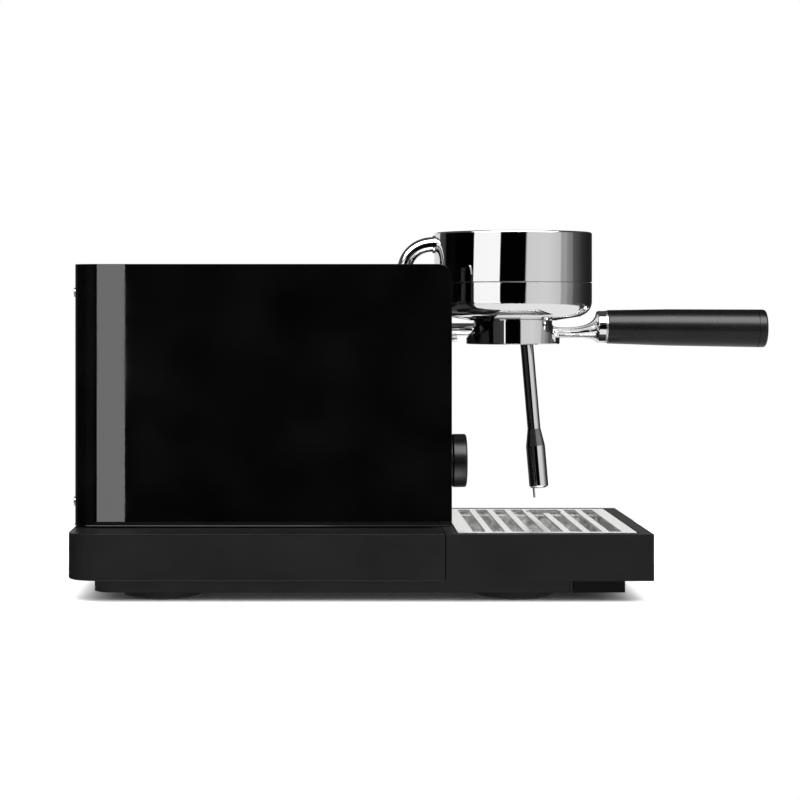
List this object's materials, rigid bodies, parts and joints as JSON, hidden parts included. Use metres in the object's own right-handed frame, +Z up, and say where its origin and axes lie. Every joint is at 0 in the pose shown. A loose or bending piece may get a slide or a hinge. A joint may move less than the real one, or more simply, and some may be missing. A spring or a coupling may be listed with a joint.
{
  "type": "espresso machine",
  "caption": "Compact portafilter espresso machine with overhanging round brew group, side steam wand, push-and-turn knob, sliding drip tray and lift-out rear water tank.",
  "frame": {"origin": "on the table, under the middle of the machine's length and width", "axes": "+X to the front, where the drip tray and handle point; +Y to the steam wand's side; +Z up"},
  "size_m": [0.5096, 0.2, 0.2627],
  "materials": {
    "base_plastic": "satin moulded black",
    "plinth_plastic": "matt moulded black",
    "casing_paint": "gloss black",
    "chrome": "mirror polished",
    "stainless": "brushed",
    "galvanised_steel": "zinc plated",
    "soft_touch": "soft touch black",
    "black_rubber": "matt",
    "tank_plastic": "clear smoked",
    "valve_plastic": "moulded white",
    "hose_silicone": "translucent",
    "cast_aluminium": "as cast",
    "pump_body": "moulded",
    "brass": "machined",
    "board_laminate": "solder resist",
    "board_components": "moulded"
  },
  "bodies": {
    "root": {"base_frame": "base_plastic", "bottom_plate": "plinth_plastic", "encoder": "plinth_plastic", "switch_frame": "plinth_plastic", "inlet_socket": "plinth_plastic", "casing_wrap": "casing_paint", "front_panel": "casing_paint", "top_cover": "casing_paint", "chassis": "casing_paint", "group_body": "chrome", "group_cap": "chrome", "feed_pipe": "chrome", "pipe_collar": "chrome", "steam_fitting": "chrome", "shower_screen": "stainless", "shower_screw": "stainless", "group_screws": "stainless", "foot_screws": "stainless", "casing_screws": "stainless", "group_bracket": "galvanised_steel", "knob_bezel": "soft_touch", "feet": "black_rubber", "pump_mounts": "black_rubber", "pipe_grommet": "black_rubber", "group_gasket": "black_rubber", "tank_seat": "valve_plastic", "flow_meter": "valve_plastic", "board_standoffs": "valve_plastic", "suction_hose": "hose_silicone", "pump_hose": "hose_silicone", "pressure_hose": "hose_silicone", "brew_hose": "hose_silicone", "steam_hose": "hose_silicone", "heater_block": "cast_aluminium", "group_heater": "cast_aluminium", "pump": "pump_body", "brew_valve": "brass", "control_board": "board_laminate", "board_parts": "board_components"},
    "portafilter": {"portafilter": "chrome", "filter_basket": "stainless", "basket_spring": "stainless", "handle_ferrule": "chrome", "handle_collar": "stainless", "handle_grip": "soft_touch", "handle_cap": "soft_touch", "handle_stud": "stainless"},
    "steam_wand": {"steam_pipe": "chrome", "steam_tip": "chrome", "steam_probe": "stainless"},
    "knob_shaft": {"knob_shaft": "stainless"},
    "knob": {"knob": "soft_touch"},
    "drip_tray": {"drip_tray": "base_plastic", "tray_liner": "stainless"},
    "drip_plate": {"drip_plate": "stainless"},
    "water_tank": {"water_tank": "tank_plastic", "tank_valve": "valve_plastic", "lid_pin": "stainless"},
    "tank_lid": {"tank_lid": "casing_paint"},
    "power_rocker": {"power_rocker": "soft_touch"}
  },
  "joints": [
    {"name": "portafilter_turn", "type": "hinge", "parent": "root", "child": "portafilter", "pos_m": [0.0641, 0, 0.19], "axis": [0, 0, 1], "range_deg": [-45, 0]},
    {"name": "steam_wand_swivel", "type": "hinge", "parent": "root", "child": "steam_wand", "pos_m": [0, 0.065, 0.19], "axis": [1, 0, 0], "range_deg": [-10, 45]},
    {"name": "knob_push", "type": "slide", "parent": "root", "child": "knob_shaft", "axis": [-1, 0, 0], "range_m": [0, 0.0006], "stiffness_N_per_m": 1500, "springref_m": -0.0004},
    {"name": "knob_turn", "type": "hinge", "parent": "knob_shaft", "child": "knob", "pos_m": [0, 0, 0.0932], "axis": [1, 0, 0], "continuous": true},
    {"name": "drip_tray_slide", "type": "slide", "parent": "root", "child": "drip_tray", "axis": [1, 0, 0], "range_m": [0, 0.15]},
    {"name": "drip_plate_lift", "type": "slide", "parent": "drip_tray", "child": "drip_plate", "axis": [0, 0, 1], "range_m": [0, 0.008]},
    {"name": "water_tank_lift", "type": "slide", "parent": "root", "child": "water_tank", "axis": [0, 0, 1], "range_m": [0, 0.18]},
    {"name": "tank_lid_hinge", "type": "hinge", "parent": "water_tank", "child": "tank_lid", "pos_m": [-0.2404, 0, 0.2349], "axis": [0, -1, 0], "range_deg": [0, 100]},
    {"name": "power_switch_rock", "type": "hinge", "parent": "root", "child": "power_rocker", "pos_m": [-0.252, 0.04, 0.032], "axis": [0, 0, 1], "range_deg": [-12, 0]}
  ]
}
